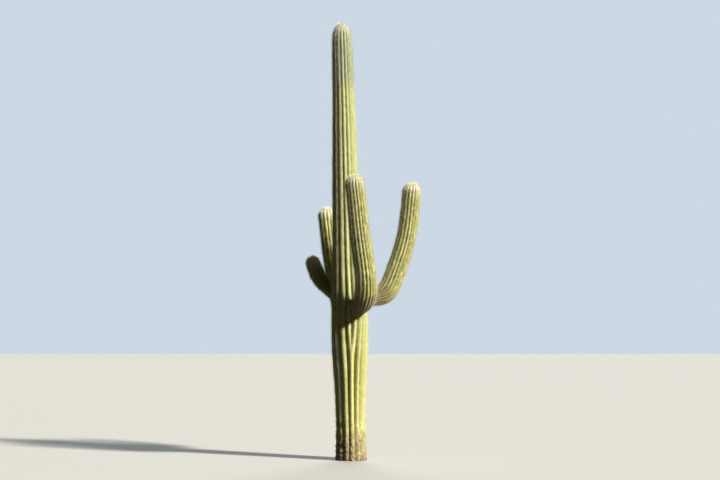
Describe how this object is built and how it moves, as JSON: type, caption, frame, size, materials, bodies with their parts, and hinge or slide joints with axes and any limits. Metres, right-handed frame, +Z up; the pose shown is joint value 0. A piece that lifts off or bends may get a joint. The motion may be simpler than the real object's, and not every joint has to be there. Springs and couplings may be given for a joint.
{
  "type": "saguaro cactus",
  "caption": "Tall ribbed saguaro cactus: a tapering trunk with a rounded tip, a long front arm, a long right arm, a back arm and a short left arm that turn upward.",
  "frame": {"origin": "middle of the flat cut under the trunk, at ground level", "axes": "+Z up along the trunk, +Y away from the viewer along the picture's line of sight to the plant, +X to the right as the picture shows it"},
  "size_m": [1.5896, 1.3603, 6],
  "materials": {
    "trunk_skin": "waxy green skin on deep ribs, yellow-green in the sun and grey-green near the tip, with rows of spine cushions on the crests",
    "arm_skin": "waxy green skin on deep ribs, duller than the trunk and mottled, browner at the neck, with rows of spine cushions on the crests",
    "spine": "dry straw-coloured to grey spines, thin and stiff",
    "spine_cushion": "short matt felt, grey on old ribs and cream at the growing tips"
  },
  "bodies": {
    "root": {"trunk": "trunk_skin", "front_arm_elbow": "arm_skin", "front_arm_column": "arm_skin", "right_arm_elbow": "arm_skin", "right_arm_column": "arm_skin", "back_arm_elbow": "arm_skin", "back_arm_column": "arm_skin", "left_arm": "arm_skin"}
  },
  "joints": []
}
